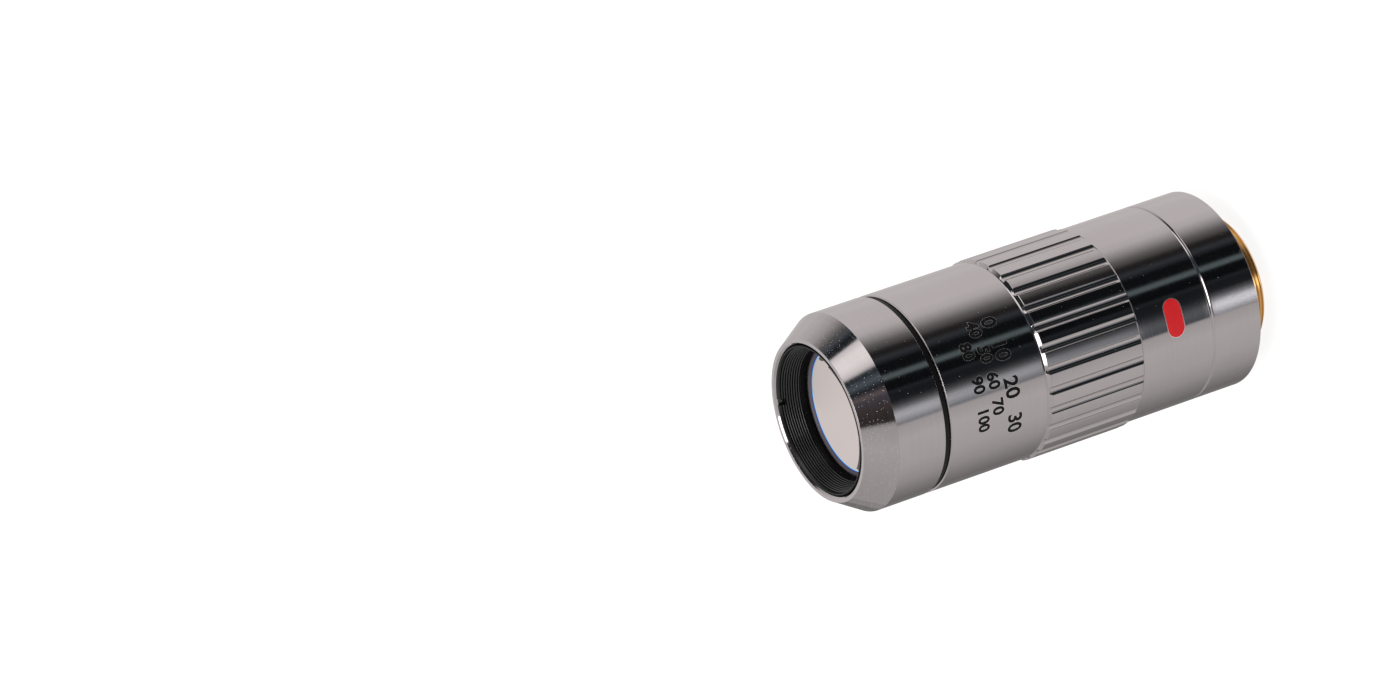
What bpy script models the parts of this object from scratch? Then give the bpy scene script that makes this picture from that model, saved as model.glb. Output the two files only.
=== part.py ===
"""Long low-power microscope objective: chromed sleeves with a fluted grip round a barrel of lens cells.

Metres, +Z up along the optical axis. The origin is the centre of the mounting thread's end face, and the
nose is at the top. Lengths run from the thread up through the outer pieces. The lens stack fills the space
inside: the rear group stands on the barrel's ledge, the front group hangs from the nose, and two tubes fill
the rest.
"""
import math

import bmesh
import bpy
from mathutils import Matrix

# Clearances
SEAT = 0.0003
JOINT = 0.0002

# Outer pieces, from the thread to the nose
THREAD_LENGTH = 0.0052
REAR_CAP_LENGTH = 0.0103
REAR_SLEEVE_LENGTH = 0.0152
GRIP_LENGTH = 0.0205
LABEL_SLEEVE_LENGTH = 0.0205
COLOUR_RING_WIDTH = 0.0008
NOSE_RING_LENGTH = 0.0147

# Outer radii, walls and edges
BODY_RADIUS = 0.0185
SLEEVE_WALL = 0.0022
BARREL_WALL = 0.0018
COLOUR_RING_RECESS = 0.0004
GRIP_RISE = 0.0004
EDGE_BREAK = 0.00015

# Grooves where the cap and the grip meet the sleeve above: a chamfer, a shelf and a collar
JOINT_CHAMFER = 0.00035
COLLAR_HEIGHT = 0.0003
COLLAR_SET_BACK = 0.00075

# Flutes of the grip
FLUTE_COUNT = 30
FLUTE_WIDTH = 0.00167
FLUTE_DEPTH = 0.0004

# Nose
BEVEL_LENGTH = 0.0051
RIM_WALL = 0.0013
RIM_CHAMFER = 0.0004
NOSE_SOCKET_DEPTH = 0.0063

# Front retaining ring
RETAINER_SET_BACK = 0.0004
RETAINER_LENGTH = 0.0046
RETAINER_LIP = 0.00035
RETAINER_CONE_LENGTH = 0.0037
RETAINER_FOOT = 0.0019
RETAINER_SLOT_WIDTH = 0.0012
RETAINER_SLOT_DEPTH = 0.0014
RETAINER_SLOT_AZIMUTH = math.radians(60)

# Mounting thread
THREAD_RADIUS = 0.013
THREAD_WALL = 0.0024
THREAD_CHAMFER = 0.0005
FLANGE_THICKNESS = 0.0025
CAP_LIP = 0.0015

# Barrel
BARREL_LEDGE = 0.0015
BARREL_LEDGE_WIDTH = 0.003

# Lens cells and rings
CELL_WALL = 0.0012
INNER_CELL_WALL = 0.002
MID_CELL_WALL = 0.003
SEAT_WIDTH = 0.0013
CELL_LEDGE = 0.0016
LOCK_RING_THICKNESS = 0.0016
LOCK_SLOT_WIDTH = 0.001
LOCK_SLOT_DEPTH = 0.0007
SPACER_WALL = 0.0013
SPACER_RING_LENGTH = 0.0015
SHIM_THICKNESS = 0.0006
STOP_THICKNESS = 0.0008
STOP_RADIUS = 0.0088
MID_GROUP_HEIGHT = 0.038

# Lenses: the least thickness, then each face's radius of curvature, positive where it bulges
POLISHED_RIM = 0.0005
GROUND_BEVEL = 0.0004
FRONT_LENS_THICKNESS = 0.0019
FRONT_LENS_FRONT_CURVE = -0.03
FRONT_LENS_REAR_CURVE = -0.045
SECOND_LENS_THICKNESS = 0.004
SECOND_LENS_FRONT_CURVE = -0.08
SECOND_LENS_REAR_CURVE = 0.04
MID_CROWN_THICKNESS = 0.0016
MID_CROWN_FRONT_CURVE = 0.045
MID_CEMENT_CURVE = 0.038
MID_FLINT_THICKNESS = 0.0028
MID_FLINT_REAR_CURVE = 0.12
SINGLET_THICKNESS = 0.0026
SINGLET_FRONT_CURVE = 0.09
SINGLET_REAR_CURVE = 0.07
REAR_CROWN_THICKNESS = 0.002
REAR_CROWN_FRONT_CURVE = 0.06
REAR_CEMENT_CURVE = 0.042
REAR_FLINT_THICKNESS = 0.0018
REAR_FLINT_REAR_CURVE = 0.15

# Set screws
SCREW_COUNT = 3
SCREW_RADIUS = 0.001
SCREW_SET_BACK = 0.0002
SCREW_HEIGHT = 0.0145
SCREW_SOCKET_RADIUS = 0.0005
SCREW_SOCKET_DEPTH = 0.0006

# Facets round each piece
OUTER_FACETS = 60
INNER_FACETS = 26
FLUTE_FACETS = 18
SCREW_FACETS = 12
LENS_ARC_STEPS = 3
FRONT_LENS_ARC_STEPS = 3
OVERRUN = 0.001

# Stations along the axis, outside
shoulder = THREAD_LENGTH
rear_cap_top = shoulder + REAR_CAP_LENGTH
rear_sleeve_base = rear_cap_top + JOINT
rear_sleeve_top = rear_sleeve_base + REAR_SLEEVE_LENGTH
grip_base = rear_sleeve_top + JOINT
grip_top = grip_base + GRIP_LENGTH
label_base = grip_top + JOINT
label_top = label_base + LABEL_SLEEVE_LENGTH
colour_base = label_top + JOINT
colour_top = colour_base + COLOUR_RING_WIDTH
nose_base = colour_top + JOINT
nose_face = nose_base + NOSE_RING_LENGTH
socket_top = nose_base + NOSE_SOCKET_DEPTH

# Radii shared by pieces that fit in each other
sleeve_bore = BODY_RADIUS - SLEEVE_WALL
barrel_radius = sleeve_bore - SEAT
barrel_bore = barrel_radius - BARREL_WALL
cell_radius = barrel_bore - SEAT
collar_radius = BODY_RADIUS - COLLAR_SET_BACK
thread_bore = THREAD_RADIUS - THREAD_WALL

# Brass bush and barrel
flange_base = shoulder + CAP_LIP + SEAT
flange_top = flange_base + FLANGE_THICKNESS
barrel_base = flange_top + SEAT
barrel_top = socket_top - SEAT
barrel_ledge_top = barrel_base + BARREL_LEDGE
barrel_window = barrel_bore - BARREL_LEDGE_WIDTH

# Retaining ring in the nose
retainer_top = nose_face - RETAINER_SET_BACK
retainer_base = retainer_top - RETAINER_LENGTH

# Radii of the lenses, each a seat clearance inside its cell
front_lens_radius = cell_radius - CELL_WALL - SEAT
second_lens_radius = cell_radius - INNER_CELL_WALL - SEAT
mid_lens_radius = cell_radius - MID_CELL_WALL - SEAT
rear_lens_radius = cell_radius - INNER_CELL_WALL - SEAT


def sag(curve, aperture):
    """Height of a face of this radius of curvature over its aperture, negative where it is hollow."""
    depth = abs(curve) - math.sqrt(curve * curve - aperture * aperture)
    return math.copysign(depth, curve)


def rim_height(thickness, front_sag, rear_sag):
    """Height of a lens's edge, from its least thickness at the edge or at the centre."""
    return thickness + max(0.0, -(front_sag + rear_sag))


def principled(name, colour, roughness, metallic, transmission=0.0):
    """A plain material with the part's own colour."""
    material = bpy.data.materials.new(name)
    material.use_nodes = True
    shader = material.node_tree.nodes["Principled BSDF"]
    shader.inputs["Base Color"].default_value = (*colour, 1.0)
    shader.inputs["Roughness"].default_value = roughness
    shader.inputs["Metallic"].default_value = metallic
    shader.inputs["Transmission Weight"].default_value = transmission
    material.diffuse_color = (*colour, 1.0)
    return material


def chrome(name):
    return principled(name, (0.66, 0.64, 0.63), 0.12, 1.0)


def black_anodised(name):
    return principled(name, (0.02, 0.02, 0.022), 0.45, 0.0)


def brass(name):
    return principled(name, (0.72, 0.46, 0.18), 0.22, 1.0)


def steel(name):
    return principled(name, (0.35, 0.35, 0.36), 0.35, 1.0)


def coated_glass(name):
    return principled(name, (0.80, 0.84, 0.86), 0.02, 0.0, 1.0)


def clear_scene():
    for item in list(bpy.data.objects):
        bpy.data.objects.remove(item, do_unlink=True)


def new_collection(name):
    collection = bpy.data.collections.new(name)
    bpy.context.scene.collection.children.link(collection)
    return collection


def mesh_object(name, mesh, collection, material=None):
    item = bpy.data.objects.new(name, mesh)
    collection.objects.link(item)
    if material:
        mesh.materials.append(material)
    return item


def turned(name, profile, material, facets, closed=True):
    """A turned piece. The profile is (radius, height) pairs that run down the outer side first."""
    outline = bmesh.new()
    corners = [outline.verts.new((radius, 0.0, height)) for radius, height in profile]
    for first, second in zip(corners, corners[1:]):
        outline.edges.new((first, second))
    if closed:
        outline.edges.new((corners[-1], corners[0]))
    mesh = bpy.data.meshes.new(name)
    outline.to_mesh(mesh)
    outline.free()
    item = mesh_object(name, mesh, parts, material)
    screw = item.modifiers.new("turn", "SCREW")
    screw.angle = math.tau
    screw.steps = facets
    screw.render_steps = facets
    screw.use_merge_vertices = True
    screw.merge_threshold = 0.00001
    screw.use_smooth_shade = True
    return item


def tube(name, inner, outer, base, top, material, facets):
    """A plain turned ring or tube."""
    profile = [(outer, top), (outer, base), (inner, base), (inner, top)]
    return turned(name, profile, material, facets)


def cutter_object(name, shape):
    """A wireframe guide made from a bmesh, kept apart from the parts."""
    mesh = bpy.data.meshes.new(name)
    shape.to_mesh(mesh)
    shape.free()
    item = mesh_object(name, mesh, cutters)
    item.hide_render = True
    item.display_type = "WIRE"
    return item


def cut(item, cutter):
    """Cut one object with another."""
    boolean = item.modifiers.new("cut", "BOOLEAN")
    boolean.operation = "DIFFERENCE"
    boolean.solver = "EXACT"
    boolean.object = cutter


def settle_meshes():
    """Apply each part's modifiers and shade it smooth between its sharp edges."""
    graph = bpy.context.evaluated_depsgraph_get()
    meshes = {item: bpy.data.meshes.new_from_object(item.evaluated_get(graph)) for item in parts.objects}
    for item, mesh in meshes.items():
        item.modifiers.clear()
        item.data = mesh
        mesh.name = item.name
        mesh.shade_smooth()
        mesh.set_sharp_from_angle(angle=math.radians(30))


def slot_across(item, face, into, width, depth, reach, azimuth=0.0):
    """Two opposite spanner slots in a ring's face. into is 1 for slots that run up, -1 for down."""
    height = depth + OVERRUN
    shape = bmesh.new()
    bmesh.ops.create_cube(shape, size=1.0)
    bmesh.ops.scale(shape, vec=(2 * reach, width, height), verts=shape.verts)
    cutter = cutter_object(item.name + "_slots", shape)
    cutter.location.z = face + into * (depth - height / 2)
    cutter.rotation_euler.z = azimuth
    cut(item, cutter)


def lens(name, top, radius, thickness, front, rear, steps=LENS_ARC_STEPS, bevel=0.0, facets=INNER_FACETS):
    """A lens with its rim's top at this height. front and rear are (aperture, curve). Returns its base."""
    front_aperture, front_curve = front
    rear_aperture, rear_curve = rear
    front_sag = sag(front_curve, front_aperture)
    rear_sag = sag(rear_curve, rear_aperture)
    base = top - bevel - rim_height(thickness, front_sag, rear_sag)
    profile = []
    for step in range(steps + 1):
        at = front_aperture * step / steps
        profile.append((at, top - bevel + front_sag - sag(front_curve, at)))
    if bevel:
        profile.append((front_aperture + bevel, top))
    profile.append((radius, top))
    profile.append((radius, base))
    for step in range(steps, -1, -1):
        at = rear_aperture * step / steps
        profile.append((at, base - rear_sag + sag(rear_curve, at)))
    turned(name, profile, coated_glass(name), facets, closed=False)
    return base


def build_nose_ring():
    rim = barrel_bore + RIM_WALL
    bevel_base = nose_face - BEVEL_LENGTH
    profile = [
        (barrel_bore + RIM_CHAMFER, nose_face),
        (rim - EDGE_BREAK, nose_face),
        (rim, nose_face - EDGE_BREAK),
        (BODY_RADIUS, bevel_base),
        (BODY_RADIUS, nose_base + EDGE_BREAK),
        (BODY_RADIUS - EDGE_BREAK, nose_base),
        (sleeve_bore, nose_base),
        (sleeve_bore, socket_top),
        (barrel_bore, socket_top),
        (barrel_bore, nose_face - RIM_CHAMFER),
    ]
    turned("nose_ring", profile, chrome("nose_ring"), OUTER_FACETS)


def build_front_retainer():
    mouth = cell_radius - RETAINER_LIP
    throat = cell_radius - RETAINER_FOOT
    profile = [
        (cell_radius, retainer_top),
        (cell_radius, retainer_base),
        (throat, retainer_base),
        (throat, retainer_top - RETAINER_CONE_LENGTH),
        (mouth, retainer_top),
    ]
    ring = turned("front_retainer", profile, black_anodised("front_retainer"), OUTER_FACETS)
    slot_across(ring, retainer_top, -1, RETAINER_SLOT_WIDTH, RETAINER_SLOT_DEPTH,
                cell_radius + OVERRUN, RETAINER_SLOT_AZIMUTH)


def sleeve(name, base, top):
    """A chromed sleeve on the barrel, with its edges broken."""
    profile = [
        (BODY_RADIUS - EDGE_BREAK, top),
        (BODY_RADIUS, top - EDGE_BREAK),
        (BODY_RADIUS, base + EDGE_BREAK),
        (BODY_RADIUS - EDGE_BREAK, base),
        (sleeve_bore, base),
        (sleeve_bore, top),
    ]
    turned(name, profile, chrome(name), OUTER_FACETS)


def grooved_top(radius, top):
    """The profile's start on a piece that carries the sleeve above it: collar, shelf and chamfer."""
    shelf = top - COLLAR_HEIGHT
    return [
        (collar_radius, top),
        (collar_radius, shelf),
        (radius - JOINT_CHAMFER, shelf),
        (radius, shelf - JOINT_CHAMFER),
    ]


def build_colour_ring():
    tube("colour_ring", sleeve_bore, BODY_RADIUS - COLOUR_RING_RECESS, colour_base, colour_top,
         black_anodised("colour_ring"), OUTER_FACETS)


def flute_cutter(radius):
    """Round bars all the way round the grip, one for each flute."""
    bar_radius = (FLUTE_WIDTH ** 2 / 4 + FLUTE_DEPTH ** 2) / (2 * FLUTE_DEPTH)
    bar_offset = radius - FLUTE_DEPTH + bar_radius
    bar_length = GRIP_LENGTH + 2 * OVERRUN
    shape = bmesh.new()
    for index in range(FLUTE_COUNT):
        azimuth = math.tau * index / FLUTE_COUNT
        bar = bmesh.ops.create_cone(shape, cap_ends=True, segments=FLUTE_FACETS,
                                    radius1=bar_radius, radius2=bar_radius, depth=bar_length)
        x, y = bar_offset * math.cos(azimuth), bar_offset * math.sin(azimuth)
        bmesh.ops.rotate(shape, verts=bar["verts"], matrix=Matrix.Rotation(azimuth, 3, "Z"))
        bmesh.ops.translate(shape, vec=(x, y, grip_base + GRIP_LENGTH / 2), verts=bar["verts"])
    return cutter_object("grip_flutes", shape)


def build_grip():
    """The grip's ridges stand proud of the body, and its flutes run out level with the rear sleeve."""
    ridge = BODY_RADIUS + GRIP_RISE
    profile = grooved_top(ridge, grip_top) + [
        (ridge, grip_base + EDGE_BREAK),
        (ridge - EDGE_BREAK, grip_base),
        (sleeve_bore, grip_base),
        (sleeve_bore, grip_top),
    ]
    grip = turned("grip_sleeve", profile, chrome("grip_sleeve"), OUTER_FACETS)
    cut(grip, flute_cutter(ridge))


def build_rear_cap():
    lip_bore = THREAD_RADIUS + SEAT
    lip_top = shoulder + CAP_LIP
    profile = grooved_top(BODY_RADIUS, rear_cap_top) + [
        (BODY_RADIUS, shoulder + EDGE_BREAK),
        (BODY_RADIUS - EDGE_BREAK, shoulder),
        (lip_bore, shoulder),
        (lip_bore, lip_top),
        (sleeve_bore, lip_top),
        (sleeve_bore, rear_cap_top),
    ]
    turned("rear_cap", profile, chrome("rear_cap"), OUTER_FACETS)


def build_mounting_thread():
    profile = [
        (barrel_radius, flange_top),
        (barrel_radius, flange_base),
        (THREAD_RADIUS, flange_base),
        (THREAD_RADIUS, THREAD_CHAMFER),
        (THREAD_RADIUS - THREAD_CHAMFER, 0.0),
        (thread_bore, 0.0),
        (thread_bore, flange_top),
    ]
    turned("mounting_thread", profile, brass("mounting_thread"), OUTER_FACETS)


def radial_cutter(name, radius, azimuth, height, near, far, facets):
    """A round bar that points out from the axis, from radius near to radius far."""
    shape = bmesh.new()
    bmesh.ops.create_cone(shape, cap_ends=True, segments=facets,
                          radius1=radius, radius2=radius, depth=far - near)
    cutter = cutter_object(name, shape)
    place_radially(cutter, azimuth, height, (near + far) / 2)
    return cutter


def place_radially(item, azimuth, height, distance):
    item.rotation_euler = (0.0, math.pi / 2, azimuth)
    item.location = (distance * math.cos(azimuth), distance * math.sin(azimuth), height)


def screw_azimuth(index):
    return math.tau * (index + 0.5) / SCREW_COUNT


def build_main_barrel():
    profile = [
        (barrel_radius, barrel_top),
        (barrel_radius, barrel_base),
        (barrel_window, barrel_base),
        (barrel_window, barrel_ledge_top),
        (barrel_bore, barrel_ledge_top),
        (barrel_bore, barrel_top),
    ]
    barrel = turned("main_barrel", profile, brass("main_barrel"), OUTER_FACETS)
    for index in range(SCREW_COUNT):
        hole = radial_cutter(f"screw_hole_{index + 1}", SCREW_RADIUS + SEAT, screw_azimuth(index),
                             shoulder + SCREW_HEIGHT, cell_radius - OVERRUN, sleeve_bore + OVERRUN,
                             SCREW_FACETS)
        cut(barrel, hole)


def build_set_screws():
    """Grub screws in the barrel's wall that bear on the rear cell."""
    near = cell_radius + SEAT
    far = barrel_radius - SCREW_SET_BACK
    for index in range(SCREW_COUNT):
        name = f"set_screw_{index + 1}"
        shape = bmesh.new()
        bmesh.ops.create_cone(shape, cap_ends=True, segments=SCREW_FACETS,
                              radius1=SCREW_RADIUS, radius2=SCREW_RADIUS, depth=far - near)
        mesh = bpy.data.meshes.new(name)
        shape.to_mesh(mesh)
        shape.free()
        screw = mesh_object(name, mesh, parts, steel(name))
        place_radially(screw, screw_azimuth(index), shoulder + SCREW_HEIGHT, (near + far) / 2)
        socket = radial_cutter(f"{name}_socket", SCREW_SOCKET_RADIUS, screw_azimuth(index),
                               shoulder + SCREW_HEIGHT, far - SCREW_SOCKET_DEPTH, far + OVERRUN, 6)
        cut(screw, socket)


def lock_ring(name, radius, base, outward):
    """A slotted ring that holds a lens in its cell. Its slots face up where outward is 1, or down at -1."""
    top = base + LOCK_RING_THICKNESS
    ring = tube(name, radius - SEAT_WIDTH, radius, base, top, black_anodised(name), INNER_FACETS)
    face = top if outward > 0 else base
    slot_across(ring, face, -outward, LOCK_SLOT_WIDTH, LOCK_SLOT_DEPTH, radius + OVERRUN)


def build_front_group():
    """Two lenses on one ledge, hung from the retaining ring in the nose. Returns the cell's base."""
    rim_top = retainer_base - SEAT
    aperture = front_lens_radius - POLISHED_RIM - GROUND_BEVEL
    rear_aperture = front_lens_radius - SEAT_WIDTH
    rim_base = lens("front_lens", rim_top, front_lens_radius, FRONT_LENS_THICKNESS,
                    (aperture, FRONT_LENS_FRONT_CURVE), (rear_aperture, FRONT_LENS_REAR_CURVE),
                    FRONT_LENS_ARC_STEPS, GROUND_BEVEL, OUTER_FACETS)
    ledge_top = rim_base - SEAT
    ledge_base = ledge_top - CELL_LEDGE
    ledge_bore = second_lens_radius - SEAT_WIDTH
    inner_aperture = ledge_bore - SEAT
    second_base = lens("second_lens", ledge_base - SEAT, second_lens_radius, SECOND_LENS_THICKNESS,
                       (inner_aperture, SECOND_LENS_FRONT_CURVE), (inner_aperture, SECOND_LENS_REAR_CURVE))
    ring_base = second_base - SEAT - LOCK_RING_THICKNESS
    lock_ring("front_lock_ring", second_lens_radius, ring_base, -1)
    profile = [
        (cell_radius, rim_top),
        (cell_radius, ring_base),
        (second_lens_radius + SEAT, ring_base),
        (second_lens_radius + SEAT, ledge_base),
        (ledge_bore, ledge_base),
        (ledge_bore, ledge_top),
        (front_lens_radius + SEAT, ledge_top),
        (front_lens_radius + SEAT, rim_top),
    ]
    turned("front_cell", profile, black_anodised("front_cell"), INNER_FACETS)
    return ring_base


def build_mid_group():
    """The middle doublet, in a cell that opens upwards. Returns the cell's base and top."""
    base = shoulder + MID_GROUP_HEIGHT
    ledge_top = base + CELL_LEDGE
    ledge_bore = mid_lens_radius - SEAT_WIDTH
    aperture = ledge_bore - SEAT
    cement_aperture = mid_lens_radius - POLISHED_RIM
    flint_rim = rim_height(MID_FLINT_THICKNESS, sag(-MID_CEMENT_CURVE, cement_aperture),
                           sag(MID_FLINT_REAR_CURVE, aperture))
    crown_rim = rim_height(MID_CROWN_THICKNESS, sag(MID_CROWN_FRONT_CURVE, aperture),
                           sag(MID_CEMENT_CURVE, cement_aperture))
    flint_top = ledge_top + SEAT + flint_rim
    crown_top = flint_top + SEAT + crown_rim
    lens("mid_flint_lens", flint_top, mid_lens_radius, MID_FLINT_THICKNESS,
         (cement_aperture, -MID_CEMENT_CURVE), (aperture, MID_FLINT_REAR_CURVE))
    lens("mid_crown_lens", crown_top, mid_lens_radius, MID_CROWN_THICKNESS,
         (aperture, MID_CROWN_FRONT_CURVE), (cement_aperture, MID_CEMENT_CURVE))
    ring_base = crown_top + SEAT
    lock_ring("mid_lock_ring", mid_lens_radius, ring_base, 1)
    top = ring_base + LOCK_RING_THICKNESS
    profile = [
        (cell_radius, top),
        (cell_radius, base),
        (ledge_bore, base),
        (ledge_bore, ledge_top),
        (mid_lens_radius + SEAT, ledge_top),
        (mid_lens_radius + SEAT, top),
    ]
    turned("mid_cell", profile, black_anodised("mid_cell"), INNER_FACETS)
    return base, top


def build_rear_group():
    """Shim, doublet and singlet on the barrel's ledge, in a cell open below. Returns the cell's top."""
    shim_base = barrel_ledge_top + SEAT
    shim_top = shim_base + SHIM_THICKNESS
    tube("parfocal_shim", barrel_window, cell_radius, shim_base, shim_top, brass("parfocal_shim"),
         INNER_FACETS)
    base = shim_top + SEAT
    lock_ring("rear_lock_ring", rear_lens_radius, base, -1)
    ledge_bore = rear_lens_radius - SEAT_WIDTH
    aperture = ledge_bore - SEAT
    cement_aperture = rear_lens_radius - POLISHED_RIM
    flint_rim = rim_height(REAR_FLINT_THICKNESS, sag(-REAR_CEMENT_CURVE, cement_aperture),
                           sag(REAR_FLINT_REAR_CURVE, aperture))
    crown_rim = rim_height(REAR_CROWN_THICKNESS, sag(REAR_CROWN_FRONT_CURVE, aperture),
                           sag(REAR_CEMENT_CURVE, cement_aperture))
    singlet_rim = rim_height(SINGLET_THICKNESS, sag(SINGLET_FRONT_CURVE, aperture),
                             sag(SINGLET_REAR_CURVE, aperture))
    flint_top = base + LOCK_RING_THICKNESS + SEAT + flint_rim
    crown_top = flint_top + SEAT + crown_rim
    spacer_top = crown_top + SEAT + SPACER_RING_LENGTH
    singlet_top = spacer_top + SEAT + singlet_rim
    lens("rear_flint_lens", flint_top, rear_lens_radius, REAR_FLINT_THICKNESS,
         (cement_aperture, -REAR_CEMENT_CURVE), (aperture, REAR_FLINT_REAR_CURVE))
    lens("rear_crown_lens", crown_top, rear_lens_radius, REAR_CROWN_THICKNESS,
         (aperture, REAR_CROWN_FRONT_CURVE), (cement_aperture, REAR_CEMENT_CURVE))
    tube("rear_spacer_ring", ledge_bore, rear_lens_radius, crown_top + SEAT, spacer_top,
         black_anodised("rear_spacer_ring"), INNER_FACETS)
    lens("rear_singlet_lens", singlet_top, rear_lens_radius, SINGLET_THICKNESS,
         (aperture, SINGLET_FRONT_CURVE), (aperture, SINGLET_REAR_CURVE))
    ledge_base = singlet_top + SEAT
    top = ledge_base + CELL_LEDGE
    profile = [
        (cell_radius, top),
        (cell_radius, base),
        (rear_lens_radius + SEAT, base),
        (rear_lens_radius + SEAT, ledge_base),
        (ledge_bore, ledge_base),
        (ledge_bore, top),
    ]
    turned("rear_cell", profile, black_anodised("rear_cell"), INNER_FACETS)
    return top


def build_spacers(front_cell_base, mid_cell_base, mid_cell_top, rear_cell_top):
    """The stop under the middle cell, and the tubes that fill the rest of the barrel."""
    bore = cell_radius - SPACER_WALL
    stop_top = mid_cell_base - SEAT
    stop_base = stop_top - STOP_THICKNESS
    tube("aperture_stop", STOP_RADIUS, cell_radius, stop_base, stop_top, black_anodised("aperture_stop"),
         INNER_FACETS)
    tube("mid_spacer", bore, cell_radius, rear_cell_top + SEAT, stop_base - SEAT,
         black_anodised("mid_spacer"), INNER_FACETS)
    tube("front_spacer", bore, cell_radius, mid_cell_top + SEAT, front_cell_base - SEAT,
         black_anodised("front_spacer"), INNER_FACETS)


clear_scene()
parts = new_collection("microscope_objective")
cutters = new_collection("cutters")
build_nose_ring()
build_front_retainer()
build_colour_ring()
sleeve("label_sleeve", label_base, label_top)
build_grip()
sleeve("rear_sleeve", rear_sleeve_base, rear_sleeve_top)
build_rear_cap()
build_mounting_thread()
build_main_barrel()
build_set_screws()
front_cell_base = build_front_group()
mid_cell_base, mid_cell_top = build_mid_group()
rear_cell_top = build_rear_group()
build_spacers(front_cell_base, mid_cell_base, mid_cell_top, rear_cell_top)
settle_meshes()
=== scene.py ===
"""Looks of a long low-power microscope objective that stands on its thread, nose up.

The CAD frame gives every station and radius. Each node that shows gets a finely turned piece in its own
place: soft edges, flutes, a helical thread, anti-glare grooves and filled engravings. Profiles are in
millimetres, as radius and height, and azimuths are in degrees. Bearings are azimuths from the camera's side.
"""
import math

import bmesh
import bpy
from mathutils import Matrix, Vector


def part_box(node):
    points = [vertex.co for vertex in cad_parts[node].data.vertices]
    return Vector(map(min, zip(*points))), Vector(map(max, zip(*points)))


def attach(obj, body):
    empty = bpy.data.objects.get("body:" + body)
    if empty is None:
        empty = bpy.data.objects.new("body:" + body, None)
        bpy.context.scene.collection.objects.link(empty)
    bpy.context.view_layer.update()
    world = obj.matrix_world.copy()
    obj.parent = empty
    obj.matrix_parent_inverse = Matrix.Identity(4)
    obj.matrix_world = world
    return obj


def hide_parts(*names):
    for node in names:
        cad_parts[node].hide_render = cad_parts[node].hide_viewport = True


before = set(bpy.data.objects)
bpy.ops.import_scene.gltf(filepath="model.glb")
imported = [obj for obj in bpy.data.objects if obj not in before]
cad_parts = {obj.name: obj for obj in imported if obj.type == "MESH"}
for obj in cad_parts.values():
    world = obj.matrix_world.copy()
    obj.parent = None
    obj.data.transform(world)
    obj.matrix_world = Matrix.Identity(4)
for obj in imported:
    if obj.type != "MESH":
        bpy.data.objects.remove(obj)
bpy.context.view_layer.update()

MM = 0.001
TAU = math.tau
SEGMENTS = 256
SHARP_ANGLE = math.radians(40)

# Camera: its azimuth, its distance from the axis and its height above the nose in metres, its lens and sensor
# in mm, and its axes, each as parts sideways, toward the camera and upward
CAMERA_AZIMUTH = -92.9
CAMERA_REACH = 1.032
CAMERA_HEIGHT = 0.526
CAMERA_LENS = 167.94
CAMERA_SENSOR = 36.0
CAMERA_RIGHT = (-0.32562, 0.41304, -0.85051)
CAMERA_UP = (0.94536, 0.15757, -0.28541)
CAMERA_BACK = (-0.016135, 0.89698, 0.44178)

# Finish of the turned edges, in mm, and the gap between two pieces
EDGE = 0.09
FINE_EDGE = 0.05
JOINT_EDGE = 0.12
GAP = 0.03

# Arc of a soft corner: its steps, the share of a side that it may take, and where its supports stand
ARC_STEPS = 4
ARC_SHARE = 0.3
ARC_SUPPORT = 1.5

# Grooves where the cap and the grip meet the sleeve above: a chamfer, and a steep cone up to the sleeve
SHELF_DROP = 0.14
CAP_CHAMFER = 0.25
GRIP_CHAMFER = 0.58
CONE_SLOPE = 0.364
JOINT_FILL = 0.18

# Grip
FLUTES = 30
FLUTE_STEP = TAU / FLUTES
FLUTE_HALF_ANGLE = math.radians(2.52)
FLUTE_DEPTH = 0.4
FLUTE_EDGE = math.radians(0.16)
FLUTE_BLEND = 1.2 * FLUTE_EDGE

# Thread, in mm
PITCH = 25.4 / 36
THREAD_DEPTH = 0.30
THREAD_RELIEF = 0.75
THREAD_MERGE = 0.0005

# Digits: how far they grow outward, and how far they reach below and above the metal, in mm
DIGIT_EDGE_GROW = 0.185
DIGIT_FILL_GROW = 0.115
DIGIT_FOOT = -0.03
DIGIT_EDGE_TOP = 0.012
DIGIT_FILL_TOP = 0.022

# Tones of the dust and of the painted highlight on the retaining ring's ridges, a ridge's depth in mm, and
# the grooves' sheen, kept low as painted shade
BRIGHT_DUST = (0.5, 0.5, 0.52, 1)
DULL_DUST = (0.2, 0.2, 0.2, 1)
RIDGE_PAINTED_HIGHLIGHT = (0.012, 0.012, 0.0125, 1)
RIDGE_LIP = 0.08
GROOVE_PAINTED_SHADE_SHINE = 0.03


def z_range(node):
    low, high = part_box(node)
    return low.z / MM, high.z / MM


def outer_radius(node):
    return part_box(node)[1].x / MM


def polar(radius, degrees, height=0.0):
    """A point in mm, by its azimuth in degrees."""
    turn = math.radians(degrees)
    return Vector((radius * math.cos(turn), radius * math.sin(turn), height))


# Meshes

def new_object(name, data):
    item = bpy.data.objects.new(name, data)
    bpy.context.scene.collection.objects.link(item)
    return item


def soften(corners):
    """Corners (radius, height, softness) to a fine profile.
    A soft corner becomes a small arc between two supports."""
    points = []
    for index, (radius, height, softness) in enumerate(corners):
        here = Vector((radius, height))
        if softness <= 0:
            points.append(here)
            continue
        back = Vector(corners[index - 1][:2]) - here
        ahead = Vector(corners[(index + 1) % len(corners)][:2]) - here
        reach_back = min(softness, ARC_SHARE * back.length)
        reach_ahead = min(softness, ARC_SHARE * ahead.length)
        back.normalize()
        ahead.normalize()
        points.append(here + back * reach_back * ARC_SUPPORT)
        for step in range(ARC_STEPS + 1):
            share = step / ARC_STEPS
            points.append(here + back * reach_back * (1 - share) ** 2 + ahead * reach_ahead * share ** 2)
        points.append(here + ahead * reach_ahead * ARC_SUPPORT)
    return [(point.x, point.y) for point in points]


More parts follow.
